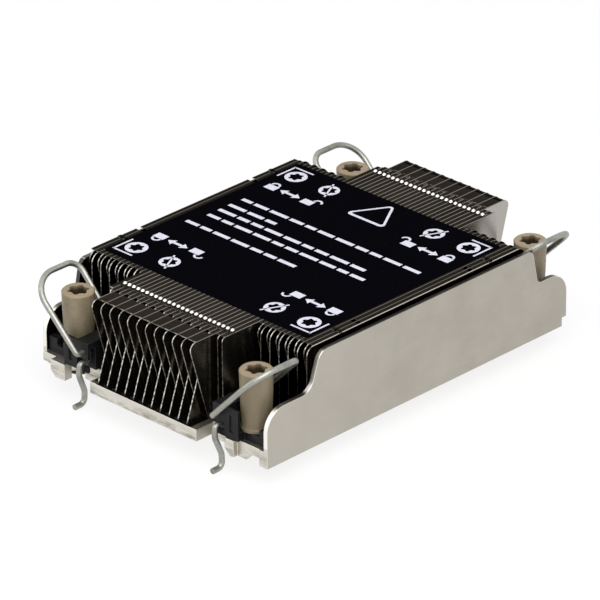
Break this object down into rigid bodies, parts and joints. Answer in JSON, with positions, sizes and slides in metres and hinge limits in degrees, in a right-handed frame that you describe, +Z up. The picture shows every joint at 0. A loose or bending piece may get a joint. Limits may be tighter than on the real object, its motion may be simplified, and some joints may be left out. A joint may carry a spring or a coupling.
{
  "type": "passive server cpu heatsink",
  "caption": "Low fin-stack heatsink on a flat plate with two side walls, captive drive nuts and swinging wire loops at its corners.",
  "frame": {"origin": "centre of the overall box in X and Y, at the underside of the wires' hooks in Z", "axes": "+Y along the fins and the air's way, +X across the fins, +Z up from the processor"},
  "size_m": [0.0782, 0.1142, 0.0318],
  "materials": {
    "plate": "satin, nickel tint",
    "fins": "bare sheet, bright cut edges",
    "label": "satin film",
    "retainer": "moulded, satin",
    "nut": "natural moulded resin",
    "insert": "turned",
    "clip": "black",
    "wire": "drawn wire"
  },
  "bodies": {
    "heatsink": {"base": "plate", "long_fin_01": "fins", "long_fin_02": "fins", "long_fin_03": "fins", "long_fin_04": "fins", "long_fin_05": "fins", "long_fin_06": "fins", "long_fin_07": "fins", "long_fin_08": "fins", "long_fin_09": "fins", "long_fin_10": "fins", "long_fin_11": "fins", "long_fin_12": "fins", "long_fin_13": "fins", "long_fin_14": "fins", "long_fin_15": "fins", "long_fin_16": "fins", "long_fin_17": "fins", "long_fin_18": "fins", "long_fin_19": "fins", "long_fin_20": "fins", "long_fin_21": "fins", "long_fin_22": "fins", "long_fin_23": "fins", "long_fin_24": "fins", "long_fin_25": "fins", "long_fin_26": "fins", "side_fins_left": "fins", "side_fins_right": "fins", "label": "label", "retainer_front_left": "retainer", "retainer_front_right": "retainer", "retainer_back_left": "retainer", "retainer_back_right": "retainer"},
    "captive_nut_front_left": {"nut_front_left": "nut", "insert_front_left": "insert", "clip_front_left": "clip"},
    "tilt_wire_front_left": {"wire_front_left": "wire"},
    "captive_nut_front_right": {"nut_front_right": "nut", "insert_front_right": "insert", "clip_front_right": "clip"},
    "tilt_wire_front_right": {"wire_front_right": "wire"},
    "captive_nut_back_left": {"nut_back_left": "nut", "insert_back_left": "insert", "clip_back_left": "clip"},
    "tilt_wire_back_left": {"wire_back_left": "wire"},
    "captive_nut_back_right": {"nut_back_right": "nut", "insert_back_right": "insert", "clip_back_right": "clip"},
    "tilt_wire_back_right": {"wire_back_right": "wire"}
  },
  "joints": [
    {"name": "nut_spin_front_left", "type": "hinge", "parent": "heatsink", "child": "captive_nut_front_left", "pos_m": [-0.0305, -0.0482, 0.0098], "axis": [0, 0, 1], "continuous": true},
    {"name": "wire_swing_front_left", "type": "hinge", "parent": "heatsink", "child": "tilt_wire_front_left", "pos_m": [-0.02311, -0.0478, 0.0151], "axis": [0, 1, 0], "range_deg": [0, 24]},
    {"name": "nut_spin_front_right", "type": "hinge", "parent": "heatsink", "child": "captive_nut_front_right", "pos_m": [0.0305, -0.0482, 0.0098], "axis": [0, 0, 1], "continuous": true},
    {"name": "wire_swing_front_right", "type": "hinge", "parent": "heatsink", "child": "tilt_wire_front_right", "pos_m": [0.02311, -0.0478, 0.0151], "axis": [0, -1, 0], "range_deg": [0, 10]},
    {"name": "nut_spin_back_left", "type": "hinge", "parent": "heatsink", "child": "captive_nut_back_left", "pos_m": [-0.0305, 0.0482, 0.0098], "axis": [0, 0, 1], "continuous": true},
    {"name": "wire_swing_back_left", "type": "hinge", "parent": "heatsink", "child": "tilt_wire_back_left", "pos_m": [-0.02311, 0.0478, 0.0151], "axis": [0, 1, 0], "range_deg": [0, 10]},
    {"name": "nut_spin_back_right", "type": "hinge", "parent": "heatsink", "child": "captive_nut_back_right", "pos_m": [0.0305, 0.0482, 0.0098], "axis": [0, 0, 1], "continuous": true},
    {"name": "wire_swing_back_right", "type": "hinge", "parent": "heatsink", "child": "tilt_wire_back_right", "pos_m": [0.02311, 0.0478, 0.0151], "axis": [0, -1, 0], "range_deg": [0, 24]}
  ]
}
